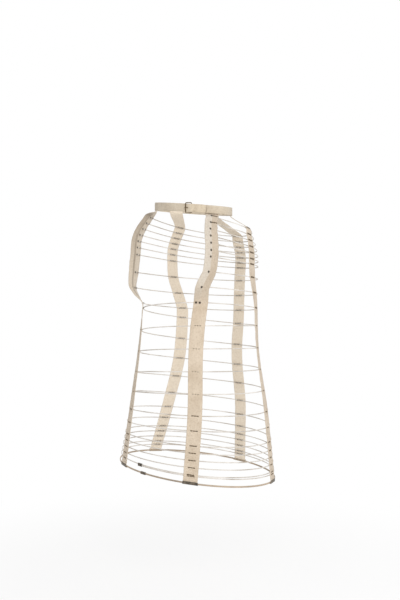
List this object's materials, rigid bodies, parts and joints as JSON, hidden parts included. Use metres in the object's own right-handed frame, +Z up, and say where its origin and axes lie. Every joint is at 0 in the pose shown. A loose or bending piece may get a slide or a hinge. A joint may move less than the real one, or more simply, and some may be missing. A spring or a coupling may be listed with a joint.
{
  "type": "crinoline cage",
  "caption": "Hooped crinoline cage: a buckled waistband carries cotton tapes with open hip hoops, a long spiral steel and a heavier hem hoop.",
  "frame": {"origin": "centre of the waistband, at half its height", "axes": "+Z up, -Y towards the front with the buckle and the open hip hoops, +X towards the wearer's left"},
  "size_m": [0.466, 0.4366, 0.8046],
  "materials": {
    "cotton_tape": "woven cotton tape, matte",
    "band_cotton": "firm woven cotton belt, matte",
    "hoop_cover": "steel with a tight cotton cover",
    "hem_cover": "thicker steel with a tight cotton cover",
    "clip_metal": "blackened sheet metal",
    "stud_metal": "dark metal",
    "buckle_metal": "aged brass"
  },
  "bodies": {
    "root": {"front_right_tape": "cotton_tape", "front_left_tape": "cotton_tape", "side_right_tape": "cotton_tape", "side_left_tape": "cotton_tape", "centre_back_tape": "cotton_tape", "hip_hoop_01": "hoop_cover", "hip_hoop_02": "hoop_cover", "hip_hoop_03": "hoop_cover", "hip_hoop_04": "hoop_cover", "hip_hoop_05": "hoop_cover", "hip_hoop_06": "hoop_cover", "hip_hoop_07": "hoop_cover", "hip_hoop_08": "hoop_cover", "hip_hoop_09": "hoop_cover", "hip_hoop_10": "hoop_cover", "spiral_steel": "hoop_cover", "hem_hoop": "hem_cover", "hem_joint_clip": "clip_metal", "spiral_end_clip": "clip_metal", "hem_tape_clips": "clip_metal", "left_hoop_studs": "stud_metal", "right_hoop_studs": "stud_metal", "waistband": "band_cotton", "buckle_frame": "buckle_metal", "buckle_prong": "buckle_metal"}
  },
  "joints": []
}
